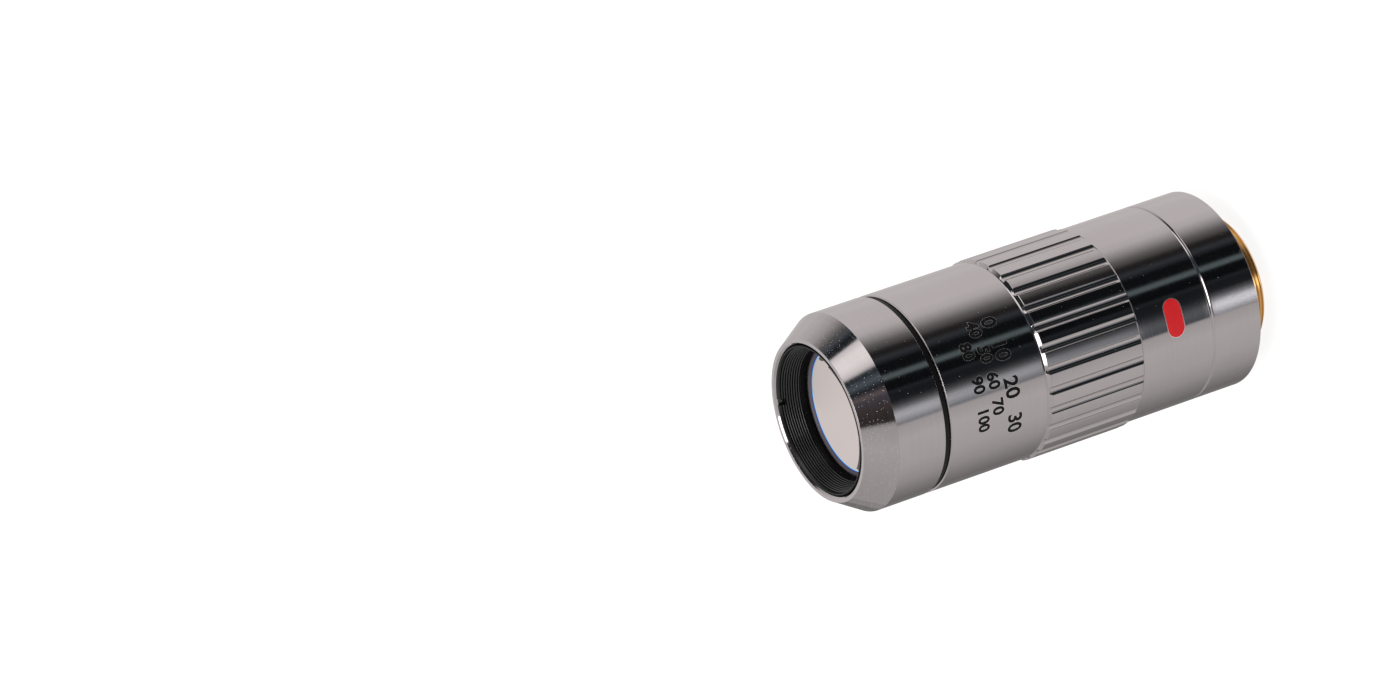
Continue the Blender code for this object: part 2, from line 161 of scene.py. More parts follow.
def finish_mesh(name, shape):
    """A bmesh in mm to a smooth object in metres, with its hard edges kept."""
    bmesh.ops.scale(shape, vec=(MM, MM, MM), verts=shape.verts)
    bmesh.ops.recalc_face_normals(shape, faces=shape.faces)
    mesh = bpy.data.meshes.new(name)
    shape.to_mesh(mesh)
    shape.free()
    mesh.shade_smooth()
    mesh.set_sharp_from_angle(angle=SHARP_ANGLE)
    return new_object(name, mesh)


def even_angles(count=SEGMENTS):
    return [TAU * index / count for index in range(count)]


def lathe(name, points, angles=None, limit=None, closed=True):
    """A turned piece. An open profile starts and ends on the axis.
    limit, if given, is a function from an angle to the greatest radius there."""
    angles = angles or even_angles()
    shape = bmesh.new()
    rings = []
    for radius, height in points:
        if radius <= 0:
            rings.append([shape.verts.new((0, 0, height))])
            continue
        ring = []
        for angle in angles:
            at = min(radius, limit(angle)) if limit else radius
            ring.append(shape.verts.new((at * math.cos(angle), at * math.sin(angle), height)))
        rings.append(ring)
    pairs = list(zip(rings, rings[1:]))
    if closed:
        pairs.append((rings[-1], rings[0]))
    for first, second in pairs:
        for index in range(len(angles)):
            follow = (index + 1) % len(angles)
            corners = [first[index % len(first)], first[follow % len(first)],
                       second[follow % len(second)], second[index % len(second)]]
            shape.faces.new(list(dict.fromkeys(corners)))
    return finish_mesh(name, shape)


def piece(item, material, slot, *nodes):
    """Dress an object, ride it on the body and let it stand for its CAD nodes."""
    item.data.materials.clear()
    item.data.materials.append(material)
    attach(item, "root")
    if nodes:
        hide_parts(*nodes)
    return item


def cut_box(item, centre, size, turn):
    """Cut a turned box, in mm and degrees, from an object and keep the result as its mesh."""
    shape = bmesh.new()
    bmesh.ops.create_cube(shape, size=1.0)
    bmesh.ops.scale(shape, vec=Vector(size) * MM, verts=shape.verts)
    mesh = bpy.data.meshes.new("cutter")
    shape.to_mesh(mesh)
    shape.free()
    cutter = new_object("cutter", mesh)
    place = Matrix.Translation(Vector(centre) * MM)
    cutter.matrix_world = place @ Matrix.Rotation(math.radians(turn), 4, "Z")
    boolean = item.modifiers.new("cut", "BOOLEAN")
    boolean.operation = "DIFFERENCE"
    boolean.solver = "EXACT"
    boolean.object = cutter
    graph = bpy.context.evaluated_depsgraph_get()
    result = bpy.data.meshes.new_from_object(item.evaluated_get(graph))
    item.modifiers.clear()
    item.data = result
    result.name = item.name
    result.shade_smooth()
    result.set_sharp_from_angle(angle=SHARP_ANGLE)
    bpy.data.objects.remove(cutter, do_unlink=True)


# Shader helpers

def set_inputs(tree, item, values):
    """Give a node its inputs, as numbers or as sockets to link."""
    for key, value in values.items():
        if isinstance(value, bpy.types.NodeSocket):
            tree.links.new(value, item.inputs[key])
        else:
            item.inputs[key].default_value = value


def add_node(tree, kind, inputs=None, **settings):
    item = tree.nodes.new(kind)
    for key, value in settings.items():
        setattr(item, key, value)
    set_inputs(tree, item, inputs or {})
    return item


def calc(tree, operation, first, second=0.0, third=0.0, clamp=False):
    inputs = {0: first, 1: second, 2: third}
    item = add_node(tree, "ShaderNodeMath", inputs, operation=operation, use_clamp=clamp)
    return item.outputs[0]


def blend_colour(tree, share, first, second, blend="MIX"):
    inputs = {0: share, 6: first, 7: second}
    item = add_node(tree, "ShaderNodeMix", inputs, data_type="RGBA", blend_type=blend)
    return item.outputs[2]


def ramp(tree, value, stops):
    """A colour ramp. Each stop is (position, colour or grey)."""
    item = add_node(tree, "ShaderNodeValToRGB", {0: value})
    elements = item.color_ramp.elements
    while len(elements) < len(stops):
        elements.new(0.5)
    for element, (position, _) in zip(elements, stops):
        element.position = position
    for element, (_, colour) in zip(elements, stops):
        grey = isinstance(colour, (int, float))
        element.color = (colour, colour, colour, 1) if grey else (*colour, 1)
    return item.outputs[0]


def object_noise(tree, scale, detail=2.0, roughness=0.5):
    """Noise in the object's own space. scale is cells per metre along x, y and z."""
    coords = add_node(tree, "ShaderNodeTexCoord")
    mapping = add_node(tree, "ShaderNodeMapping", {"Vector": coords.outputs["Object"], "Scale": scale})
    noise = add_node(tree, "ShaderNodeTexNoise", {
        "Vector": mapping.outputs[0], "Scale": 1.0, "Detail": detail, "Roughness": roughness})
    return noise.outputs[0]


def specks(tree, cell, size):
    """1 on small round specks, 0 elsewhere. cell is their spacing and size their radius, in mm."""
    coords = add_node(tree, "ShaderNodeTexCoord")
    cells = add_node(tree, "ShaderNodeTexVoronoi", {
        "Vector": coords.outputs["Object"], "Scale": 1 / (cell * MM)})
    return calc(tree, "LESS_THAN", cells.outputs["Distance"], size / cell)


def new_material(name):
    material = bpy.data.materials.new(name)
    material.use_nodes = True
    tree = material.node_tree
    return material, tree, tree.nodes["Principled BSDF"]


def glowing_material(name):
    """A material with an empty node tree for light of its own, which isn't sampled as a lamp."""
    material, tree, _ = new_material(name)
    tree.nodes.clear()
    material.cycles.emission_sampling = "NONE"
    return material, tree


def turned_metal(name, dark, light, roughness, spread, marks, dust=None, bevel_dust=None):
    """Metal with fine turning marks round the axis, faint smudges and a little dust, more of it on slopes.
    spread is what the marks and smudges add to the roughness, and marks the depth of the marks in metres.
    Each kind of dust is its spacing and its radius in mm."""
    material, tree, shader = new_material(name)
    broad_marks = object_noise(tree, (70, 70, 2600), 3.0, 0.6)
    fine_marks = object_noise(tree, (160, 160, 9000), 2.0)
    smudges = object_noise(tree, (70, 70, 50), 3.0, 0.6)
    streaks = ramp(tree, broad_marks, [(0.38, 0.0), (0.62, 1.0)])
    tone = calc(tree, "MULTIPLY_ADD", streaks, 0.2, calc(tree, "MULTIPLY", smudges, 0.8))
    colour = blend_colour(tree, tone, (*dark, 1), (*light, 1))
    uneven = calc(tree, "MULTIPLY_ADD", streaks, 0.6, calc(tree, "MULTIPLY", smudges, 0.6))
    rough = calc(tree, "MULTIPLY_ADD", uneven, spread, roughness)
    height = calc(tree, "MULTIPLY_ADD", fine_marks, 0.3, broad_marks)
    bump = add_node(tree, "ShaderNodeBump", {"Strength": 1.0, "Distance": marks, "Height": height})
    metallic = 1.0
    if dust:
        mask = specks(tree, *dust)
        if bevel_dust:
            facing = add_node(tree, "ShaderNodeNewGeometry")
            slope = add_node(tree, "ShaderNodeSeparateXYZ", {0: facing.outputs["Normal"]})
            upward = calc(tree, "GREATER_THAN", slope.outputs[2], 0.3)
            mask = calc(tree, "MAXIMUM", mask, calc(tree, "MULTIPLY", upward, specks(tree, *bevel_dust)))
        colour = blend_colour(tree, mask, colour, BRIGHT_DUST)
        metallic = calc(tree, "SUBTRACT", 1.0, calc(tree, "MULTIPLY", mask, 0.85))
        rough = calc(tree, "MULTIPLY_ADD", mask, 0.5, rough)
    set_inputs(tree, shader, {"Base Color": colour, "Roughness": rough, "Metallic": metallic,
                              "Normal": bump.outputs[0]})
    return material


def black_finish(name, dark, light, roughness, grain, shine=0.5, dust=None, ridges=None):
    """Black anodised or painted metal with a fine grain, of so many cells to the metre.
    Ridges on a cone, if given, are painted paler and made shinier than their grooves: a painted highlight on
    the ridges and painted shade in the grooves."""
    material, tree, shader = new_material(name)
    fine = object_noise(tree, (grain, grain, grain), 3.0)
    colour = blend_colour(tree, fine, (*dark, 1), (*light, 1))
    if ridges:
        # Painted highlight on the ridges and painted shade in the grooves, through a paler colour and more
        # sheen on the ridges
        painted_ridge_light = ridge_painted_light_mask(tree, *ridges)
        colour = blend_colour(tree, painted_ridge_light, colour, RIDGE_PAINTED_HIGHLIGHT)
        shine = calc(tree, "MULTIPLY_ADD", painted_ridge_light, shine - GROOVE_PAINTED_SHADE_SHINE, GROOVE_PAINTED_SHADE_SHINE)
    if dust:
        colour = blend_colour(tree, specks(tree, *dust), colour, DULL_DUST)
    rough = calc(tree, "MULTIPLY_ADD", fine, 0.12, roughness)
    bump = add_node(tree, "ShaderNodeBump", {"Strength": 0.5, "Distance": 0.00001, "Height": fine})
    set_inputs(tree, shader, {"Base Color": colour, "Roughness": rough, "Normal": bump.outputs[0],
                              "Specular IOR Level": shine})
    return material


def radius_from_axis(tree):
    """Distance from the optical axis in mm."""
    coords = add_node(tree, "ShaderNodeTexCoord")
    inputs = {0: coords.outputs["Object"], 1: (1 / MM, 1 / MM, 0.0)}
    flat = add_node(tree, "ShaderNodeVectorMath", inputs, operation="MULTIPLY")
    length = add_node(tree, "ShaderNodeVectorMath", {0: flat.outputs[0]}, operation="LENGTH")
    return length.outputs["Value"]


def ridge_painted_light_mask(tree, mouth, top, slope, base):
    """1 on the ridges of a grooved cone above a base height, where the highlight is painted, and 0 in its
    grooves, where shade is painted. All lengths are in mm.
    mouth is the cone's radius at its top, and slope what the radius gains for each mm of height."""
    coords = add_node(tree, "ShaderNodeTexCoord")
    place = add_node(tree, "ShaderNodeSeparateXYZ", {0: coords.outputs["Object"]})
    height = calc(tree, "DIVIDE", place.outputs[2], MM)
    from_cone = calc(tree, "MULTIPLY_ADD", height, -slope, radius_from_axis(tree))
    painted_ridge_light = calc(tree, "LESS_THAN", from_cone, mouth - slope * top + RIDGE_LIP)
    return calc(tree, "MULTIPLY", painted_ridge_light, calc(tree, "GREATER_THAN", height, base))


def lens_coating(name, polished):
    """Coated glass that mirrors a pale sky, with a blue fringe where the polish meets the ground edge.
    polished is the radius of the polished face, in mm."""
    fringe_start = polished - 0.58
    fringe_end = polished + 0.1
    material, tree, shader = new_material(name)
    radius = radius_from_axis(tree)
    share = add_node(tree, "ShaderNodeMapRange", {
        "Value": radius, "From Min": fringe_start, "From Max": fringe_end})
    tint = ramp(tree, share.outputs[0], [(0.0, (0.74, 0.69, 0.672)), (0.50, (0.74, 0.69, 0.677)),
                                         (0.62, (0.25, 0.75, 0.98)), (0.72, (0.10, 0.50, 0.98)),
                                         (0.82, (0.01, 0.05, 0.75)), (0.92, (0.03, 0.02, 0.12)),
                                         (1.0, (0.10, 0.085, 0.095))])
    ground = calc(tree, "GREATER_THAN", radius, polished)
    haze = object_noise(tree, (300, 300, 300), 3.0)
    rough = calc(tree, "MULTIPLY_ADD", ground, 0.45, calc(tree, "MULTIPLY", haze, 0.03))
    metallic = calc(tree, "MULTIPLY_ADD", ground, -0.7, 0.95)
    set_inputs(tree, shader, {"Base Color": tint, "Roughness": rough, "Metallic": metallic})
    return material


def clear_glass(name):
    """Inner lens glass with a faint purple coating."""
    material, tree, shader = new_material(name)
    haze = object_noise(tree, (200, 200, 200), 2.0)
    colour = blend_colour(tree, haze, (0.80, 0.78, 0.88, 1), (0.86, 0.88, 0.90, 1))
    rough = calc(tree, "MULTIPLY_ADD", haze, 0.02, 0.01)
    set_inputs(tree, shader, {
        "Base Color": colour, "Roughness": rough, "Transmission Weight": 1.0, "IOR": 1.52})
    return material


def enamel(name, dark, light):
    material, tree, shader = new_material(name)
    flow = object_noise(tree, (500, 500, 500), 2.0)
    colour = blend_colour(tree, flow, (*dark, 1), (*light, 1))
    rough = calc(tree, "MULTIPLY_ADD", flow, 0.1, 0.3)
    set_inputs(tree, shader, {"Base Color": colour, "Roughness": rough, "Specular IOR Level": 0.3})
    return material


chrome = turned_metal("chrome", (0.50, 0.475, 0.475), (0.55, 0.53, 0.53),
                      roughness=0.045, spread=0.07, marks=1.2e-6, dust=(1.2, 0.05))
dusty_chrome = turned_metal("dusty_chrome", (0.485, 0.46, 0.46), (0.565, 0.545, 0.545),
                            roughness=0.045, spread=0.06, marks=1.2e-6,
                            dust=(1.1, 0.055), bevel_dust=(0.45, 0.06))
bare_edge = turned_metal("bare_edge", (0.80, 0.78, 0.77), (0.88, 0.86, 0.85),
                         roughness=0.34, spread=0.1, marks=0.5e-6)
brass = turned_metal("brass", (0.74, 0.44, 0.15), (0.82, 0.52, 0.20),
                     roughness=0.09, spread=0.08, marks=1.0e-6, dust=(1.2, 0.05))
steel = turned_metal("steel", (0.33, 0.33, 0.34), (0.40, 0.40, 0.41),
                     roughness=0.3, spread=0.1, marks=1.0e-6)
black = black_finish("black", (0.010, 0.010, 0.011), (0.022, 0.022, 0.024),
                     roughness=0.30, grain=3000)
ring_black = black_finish("ring_black", (0.003, 0.003, 0.0035), (0.009, 0.009, 0.0095),
                          roughness=0.32, grain=3000, shine=0.2)
black_grain = black_finish("black_grain", (0.008, 0.008, 0.009), (0.03, 0.03, 0.032),
                           roughness=0.45, grain=5000)
ink = black_finish("ink", (0.004, 0.004, 0.004), (0.008, 0.008, 0.008),
                   roughness=0.5, grain=4000, shine=0.15)
red = enamel("red", (0.60, 0.006, 0.010), (0.70, 0.010, 0.014))
glass = clear_glass("glass")

# Stations, from the frame
BODY = outer_radius("rear_sleeve")
flange_top = z_range("mounting_thread")[1]
cap_low, cap_high = z_range("rear_cap")
rear_low, rear_high = z_range("rear_sleeve")
grip_low, grip_high = z_range("grip_sleeve")
label_low, label_high = z_range("label_sleeve")
colour_low, colour_high = z_range("colour_ring")
nose_low, nose_high = z_range("nose_ring")
retainer_low, retainer_high = z_range("front_retainer")
GRIP_RADIUS = BODY + FLUTE_DEPTH

# The bore of the sleeves, and the rise of the turned rim above the solid nose face, in mm
BORE = 16.3
RIM_RISE = 0.41


def grooved_top(radius, top, chamfer):
    """The profile's start on a piece that carries the sleeve above it: a steep cone, then a chamfer."""
    shelf = top - SHELF_DROP
    inner = radius - chamfer
    cone = inner - CONE_SLOPE * (SHELF_DROP + JOINT_FILL)
    return [(cone, top + JOINT_FILL, 0), (inner, shelf, FINE_EDGE), (radius, shelf - chamfer, JOINT_EDGE)]


def cap_piece():
    """The rear cap: a cup with a lip round the thread."""
    lip_bore = 13.3
    lip_tall = 1.5
    lip_top = cap_low + lip_tall
    corners = grooved_top(BODY, cap_high, CAP_CHAMFER)
    corners += [(BODY, cap_low, EDGE), (lip_bore, cap_low, EDGE), (lip_bore, lip_top, 0), (BORE, lip_top, 0),
                (BORE, cap_high + JOINT_FILL, 0)]
    return piece(lathe("rear_cap_turned", soften(corners)), chrome, "chrome", "rear_cap")


def rear_piece():
    facet = 0.12
    facet_drop = 0.1
    top = rear_high + GAP * 2
    corners = [(BODY - facet, top, FINE_EDGE), (BODY, rear_high - facet_drop, FINE_EDGE),
               (BODY, rear_low, EDGE), (BORE, rear_low, 0), (BORE, top, 0)]
    return piece(lathe("rear_sleeve_turned", soften(corners)), chrome, "chrome", "rear_sleeve")


def label_piece():
    facet = 0.245
    facet_drop = 0.155
    top = label_high - GAP
    corners = [(BODY - facet, top, FINE_EDGE), (BODY, top - facet_drop, FINE_EDGE), (BODY, label_low, EDGE),
               (BORE, label_low, 0), (BORE, top, 0)]
    return piece(lathe("label_sleeve_turned", soften(corners)), chrome, "chrome", "label_sleeve")


def from_flute(angle):
    """The angle to the middle of the nearest flute."""
    return abs((angle + FLUTE_STEP / 2) % FLUTE_STEP - FLUTE_STEP / 2)


def flute_radius(offset):
    """Radius of the flute's round surface so far from its middle, and well outside the grip on the ridges."""
    half_width = GRIP_RADIUS * math.sin(FLUTE_HALF_ANGLE)
    depth = FLUTE_DEPTH - GRIP_RADIUS * (1 - math.cos(FLUTE_HALF_ANGLE))
    bar = (half_width ** 2 + depth ** 2) / (2 * depth)
    centre = BODY + bar
    reach = bar ** 2 - (centre * math.sin(offset)) ** 2
    if offset > FLUTE_HALF_ANGLE * 1.3 or reach <= 0:
        return GRIP_RADIUS + 1
    return centre * math.cos(offset) - math.sqrt(reach)


def grip_angles():
    """Angles round the grip, close together at each flute's edges."""
    half = FLUTE_HALF_ANGLE
    offsets = [half * share for share in (0, 0.2, 0.4, 0.6, 0.78, 0.9)]
    offsets += [half + FLUTE_EDGE * share for share in (-1.6, -1.0, -0.4, 0.4, 1.0, 1.6)]
    half_ridge = FLUTE_STEP / 2 - half
    offsets += [half + half_ridge * share for share in (0.3, 0.55, 0.8)]
    one = sorted([-offset for offset in offsets[1:]] + offsets + [FLUTE_STEP / 2])
    return [index * FLUTE_STEP + offset for index in range(FLUTES) for offset in one]


def grip_limit(angle):
    """The flute's surface with its edge rounded into the ridge."""
    offset = from_flute(angle)
    past = offset - FLUTE_HALF_ANGLE
    if abs(past) < FLUTE_BLEND:
        share = (past + FLUTE_BLEND) / (2 * FLUTE_BLEND)
        low = flute_radius(FLUTE_HALF_ANGLE - FLUTE_BLEND)
        return low + (GRIP_RADIUS - low) * (1 - (1 - share) ** 2)
    return flute_radius(offset)


def grip_piece():
    foot_chamfer = 0.15
    foot = grip_low - GAP * 2
    corners = grooved_top(GRIP_RADIUS, grip_high, GRIP_CHAMFER)
    corners += [(GRIP_RADIUS, grip_low + foot_chamfer, FINE_EDGE),
                (GRIP_RADIUS - foot_chamfer, foot, FINE_EDGE),
                (BORE, foot, 0), (BORE, grip_high + JOINT_FILL, 0)]
    item = lathe("grip_turned", soften(corners), grip_angles(), grip_limit)
    return piece(item, chrome, "chrome", "grip_sleeve")


def colour_piece():
    radius = outer_radius("colour_ring")
    top = colour_high + GAP * 4
    foot = colour_low - GAP * 4
    corners = [(radius, top, 0), (radius, foot, 0), (BORE, foot, 0), (BORE, top, 0)]
    return piece(lathe("colour_ring_turned", soften(corners)), ring_black, "black_anodised", "colour_ring")


def nose_piece():
    rim = 15.18
    bore = 14.1
    chamfer = 0.4
    bevel_tall = 5.06
    socket_deep = 6.3
    top = nose_high + RIM_RISE
    bevel_low = nose_high - bevel_tall
    socket_top = nose_low + socket_deep
    corners = [(bore + chamfer, top, FINE_EDGE), (rim, top, FINE_EDGE), (BODY, bevel_low, FINE_EDGE),
               (BODY, nose_low - GAP, JOINT_EDGE), (BORE, nose_low - GAP, 0), (BORE, socket_top, 0),
               (bore, socket_top, 0), (bore, top - chamfer, FINE_EDGE)]
    return piece(lathe("nose_ring_turned", soften(corners)), dusty_chrome, "chrome", "nose_ring")


def retainer_piece():
    """Retaining ring with anti-glare grooves down its cone, and two spanner slots."""
    outer = 14.0
    mouth = 13.65
    throat = 12.0
    cone_tall = 4.1
    top = nose_high + RIM_RISE / 2
    cone_base = retainer_high - cone_tall
    soft = 0.04
    grooves = 9
    pitch = 0.42
    lead = 0.34
    groove = ((0.22, 0.0), (0.32, 0.0), (0.40, 0.3), (0.84, 0.3), (0.94, 0.08))
    slot_box = (30, 1.2, 2.4)
    slot_centre = (0, 0, top - 0.2)
    slot_turn = 64
    corners = [(outer, top, soft), (outer, retainer_low, 0), (throat, retainer_low, 0),
               (throat, cone_base, soft)]
    wall = []
    for index in range(grooves):
        for part, cut in groove:
            depth = lead + (index + part) * pitch
            share = depth / (top - cone_base)
            wall.append((mouth + (throat - mouth) * share + cut, top - depth, 0))
    corners += list(reversed(wall))
    corners.append((mouth, top, soft))
    item = lathe("front_retainer_turned", soften(corners))
    cut_box(item, slot_centre, slot_box, slot_turn)
    slope = (mouth - throat) / (top - cone_base)
    cone = (mouth, top, slope, top - lead - grooves * pitch)
    # The ridges carry a painted highlight and the grooves painted shade, in colour and in sheen
    ridge_black_painted_light = black_finish("ridge_black_painted_light", (0.003, 0.003, 0.003), (0.007, 0.007, 0.008),
                               roughness=0.24, grain=4000, shine=0.58, dust=(0.5, 0.035), ridges=cone)
    return piece(item, ridge_black_painted_light, "black_anodised", "front_retainer")


def lens_piece():
    low, high = z_range("front_lens")
    radius = outer_radius("front_lens")
    polished = radius - 0.9
    curve = 30.0
    rear_curve = 45.0
    rear_aperture = radius - 1.3
    steps = 24
    bevel = 0.4
    depth = curve - math.sqrt(curve ** 2 - polished ** 2)
    centre = high - bevel - depth
    points = []
    for step in range(steps + 1):
        at = polished * step / steps
        points.append((at, centre + curve - math.sqrt(curve ** 2 - at ** 2)))
    points += [(polished + bevel, high), (radius, high), (radius, low)]
    rear_depth = rear_curve - math.sqrt(rear_curve ** 2 - rear_aperture ** 2)
    for step in range(steps, -1, -1):
        at = rear_aperture * step / steps
        points.append((at, low + rear_depth - (rear_curve - math.sqrt(rear_curve ** 2 - at ** 2))))
    item = lathe("front_lens_polished", points, closed=False)
    return piece(item, lens_coating("coating", polished), "coated_glass", "front_lens")


def thread_piece():
    """The brass bush: a helical thread with a chamfered start and a relief groove, a flange and a bore."""
    crest = 13.0
    root = crest - THREAD_DEPTH - 0.05
    start = crest - 0.6
    bore = 10.6
    bore_chamfer = 0.15
    flange = 16.0
    flange_thick = 2.5
    flange_low = flange_top - flange_thick
    relief = cap_low - THREAD_RELIEF
    samples = ((0.0, 0.0), (0.1, 0.0), (0.18, -0.08), (0.34, -0.62), (0.46, -1.0), (0.5, -1.0), (0.54, -1.0),
               (0.66, -0.62), (0.82, -0.08), (0.9, 0.0))
    count = 192
    turns = math.ceil(relief / PITCH) + 1
    rows = [(turn + share, cut) for turn in range(-1, turns) for share, cut in samples]
    shape = bmesh.new()

    def place(row, index):
        share, cut = rows[row]
        height = PITCH * (share + index / count)
        radius = crest + cut * THREAD_DEPTH
        angle = TAU * index / count
        if height <= 0:
            radius, height = start, 0.0
        elif height >= relief:
            radius, height = root, relief
        else:
            radius = min(radius, start + height)
        return (radius * math.cos(angle), radius * math.sin(angle), height)

    grid = [[shape.verts.new(place(row, index)) for index in range(count)] for row in range(len(rows))]
    per_turn = len(samples)
    for row in range(len(rows) - 1):
        for index in range(count):
            if index < count - 1:
                low = grid[row][index + 1]
                high = grid[row + 1][index + 1]
            elif row + per_turn + 1 < len(rows):
                low = grid[row + per_turn][0]
                high = grid[row + per_turn + 1][0]
            else:
                continue
            shape.faces.new([grid[row][index], low, high, grid[row + 1][index]])
    profile = [(root, relief), (root, flange_low), (flange, flange_low), (flange, flange_top),
               (bore, flange_top), (bore, bore_chamfer), (bore + bore_chamfer, 0.0), (start, 0.0)]
    rings = [[shape.verts.new((radius * math.cos(angle), radius * math.sin(angle), height))
              for angle in even_angles(count)] for radius, height in profile]
    for first, second in zip(rings, rings[1:]):
        for index in range(count):
            follow = (index + 1) % count
            shape.faces.new([first[index], first[follow], second[follow], second[index]])
    bmesh.ops.remove_doubles(shape, verts=shape.verts, dist=THREAD_MERGE)
    bmesh.ops.dissolve_degenerate(shape, edges=shape.edges, dist=THREAD_MERGE)
    loose = [edge for edge in shape.edges if not edge.link_faces]
    bmesh.ops.delete(shape, geom=loose, context="EDGES")
    return piece(finish_mesh("mounting_thread_cut", shape), brass, "brass", "mounting_thread")


def rear_optics():
    """The lock ring and the lens that show up the thread's bore."""
    low, high = z_range("rear_lock_ring")
    radius = outer_radius("rear_lock_ring")
    wall = 1.3
    taper = 0.25
    slot_box = (30, 1.0, 1.7)
    slot_centre = (0, 0, low - 0.15)
    inner = radius - wall
    corners = [(radius, high, 0.04), (radius, low, 0.06), (inner, low, 0.06), (inner + taper, high, 0.04)]
    ring = lathe("rear_lock_ring_turned", soften(corners))
    cut_box(ring, slot_centre, slot_box, 0)
    piece(ring, black, "black_anodised", "rear_lock_ring")

    low, high = z_range("rear_flint_lens")
    radius = outer_radius("rear_flint_lens")
    steps = 20
    rear_curve = 150.0
    cement_curve = 42.0
    cement_edge = radius - 0.5
    aperture = radius - 1.6

    def face(centre_height, edge_height, reach):
        return [(reach * step / steps, centre_height + (edge_height - centre_height) * (step / steps) ** 2)
                for step in range(steps + 1)]

    bulge = rear_curve - math.sqrt(rear_curve ** 2 - aperture ** 2)
    cement = cement_curve - math.sqrt(cement_curve ** 2 - cement_edge ** 2)
    top = face(high - cement, high, cement_edge)
    bottom = face(low, low + bulge, aperture)
    points = top + [(radius, high), (radius, low + bulge)] + list(reversed(bottom))
    piece(lathe("rear_flint_polished", points, closed=False), glass, "coated_glass", "rear_flint_lens")


# Markings

def wrap(shape, radius, start, baseline):
    """Bend a flat shape (x along the reading direction, y up, z out, in mm) round the sleeve.
    start is the bearing of x 0, and baseline the height of y 0. Tops point down to the thread."""
    for vert in shape.verts:
        x, y, out = vert.co
        turn = math.radians(CAMERA_AZIMUTH + start) - x / radius
        at = radius + out
        vert.co = (at * math.cos(turn), at * math.sin(turn), baseline - y)


def slice_across(shape, step=0.4):
    """Cut a flat shape across at even steps, so that it bends smoothly."""
    low = min(vert.co.x for vert in shape.verts)
    high = max(vert.co.x for vert in shape.verts)
    at = low + step
    while at < high:
        geometry = shape.verts[:] + shape.edges[:] + shape.faces[:]
        bmesh.ops.bisect_plane(shape, geom=geometry, plane_co=(at, 0, 0), plane_no=(1, 0, 0))
        at += step


def number_shape(text, height, grow, low, high):
    """Flat solid digits of this height that start at x 0, and their width before they are grown outward.
    They reach from low to high above the metal."""
    curve = bpy.data.curves.new("digits", "FONT")
    curve.body = text
    curve.size = 1.0
    curve.resolution_u = 4
    holder = new_object("digits", curve)

    def outline():
        graph = bpy.context.evaluated_depsgraph_get()
        return bpy.data.meshes.new_from_object(holder.evaluated_get(graph))

    plain = outline()
    tall = max(vert.co.y for vert in plain.vertices)
    left = min(vert.co.x for vert in plain.vertices)
    wide = max(vert.co.x for vert in plain.vertices) - left
    scale = height / tall
    curve.offset = grow / scale
    curve.extrude = (high - low) / 2 / scale
    mesh = outline()
    shape = bmesh.new()
    shape.from_mesh(mesh)
    bmesh.ops.remove_doubles(shape, verts=shape.verts, dist=0.00001)
    for vert in shape.verts:
        vert.co = ((vert.co.x - left) * scale, vert.co.y * scale, vert.co.z * scale + (high + low) / 2)
    bpy.data.objects.remove(holder, do_unlink=True)
    return shape, wide * scale


def engraved_row(name, words, first, last, low_end, tall):
    """A row of numbers between two bearings, filled black, each with a thin bright edge round its cut.
    low_end is the height of the digits' feet, and tall their size, in mm."""
    arc = math.radians(first - last) * BODY
    widths = []
    for word in words:
        shape, width = number_shape(word, tall, 0.0, 0.0, 0.01)
        shape.free()
        widths.append(width)
    gap = (arc - sum(widths)) / (len(words) - 1)
    for layer, grow, high, material, slot in (
            ("edge", DIGIT_EDGE_GROW, DIGIT_EDGE_TOP, bare_edge, "chrome"),
            ("fill", DIGIT_FILL_GROW, DIGIT_FILL_TOP, ink, "black_anodised")):
        at = 0.0
        joined = bmesh.new()
        for word, width in zip(words, widths):
            shape, _ = number_shape(word, tall, grow, DIGIT_FOOT, high)
            bmesh.ops.translate(shape, vec=(at, 0, 0), verts=shape.verts)
            mesh = bpy.data.meshes.new("digits")
            shape.to_mesh(mesh)
            shape.free()
            joined.from_mesh(mesh)
            at += width + gap
        slice_across(joined)
        wrap(joined, BODY, first, low_end)
        piece(finish_mesh(f"{name}_{layer}", joined), material, slot)


def capsule_shape(length, width, low, high):
    """A flat capsule, centred on x 0 and y 0."""
    steps = 24
    half = width / 2
    ring = []
    for side in (1, -1):
        for step in range(steps + 1):
            turn = math.pi * step / steps - math.pi / 2
            if side < 0:
                turn += math.pi
            ring.append((side * (length / 2 - half) + half * math.cos(turn), half * math.sin(turn)))
    shape = bmesh.new()
    base = shape.faces.new([shape.verts.new((x, y, low)) for x, y in ring])
    extruded = bmesh.ops.extrude_face_region(shape, geom=[base])
    top = [item for item in extruded["geom"] if isinstance(item, bmesh.types.BMVert)]
    bmesh.ops.translate(shape, vec=(0, 0, high - low), verts=top)
    return shape


def red_mark():
    """A plain red enamel mark on the rear sleeve, in a thin bright edge."""
    centre = -10.5
    height = nose_high - 65.0
    for name, length, width, low, high, material, slot in (
            ("mark_edge", 7.4, 3.8, -0.05, 0.012, bare_edge, "chrome"),
            ("mark_enamel", 7.1, 3.5, -0.05, 0.03, red, "chrome")):
        shape = capsule_shape(length, width, low, high)
        slice_across(shape, 0.25)
        wrap(shape, BODY, centre, height)
        piece(finish_mesh(name, shape), material, slot)


# Each row: its words, the bearings of its two ends, the drop of its feet below the nose and the digits' size
NUMBER_ROWS = (
    (("0", "10", "20", "30"), 23.8, -44.9, 28.02, 2.78),
    (("40", "50", "60", "70"), 24.6, -30.2, 24.92, 2.18),
    (("80", "90", "100"), 13.7, -37.8, 21.76, 2.18),
)

cap_piece()
rear_piece()
grip_piece()
label_piece()
colour_piece()
nose_piece()
retainer_piece()
lens_piece()
thread_piece()
rear_optics()
for index, (words, first, last, drop, tall) in enumerate(NUMBER_ROWS, start=1):
    engraved_row(f"numbers_{index}", words, first, last, nose_high - drop, tall)
red_mark()

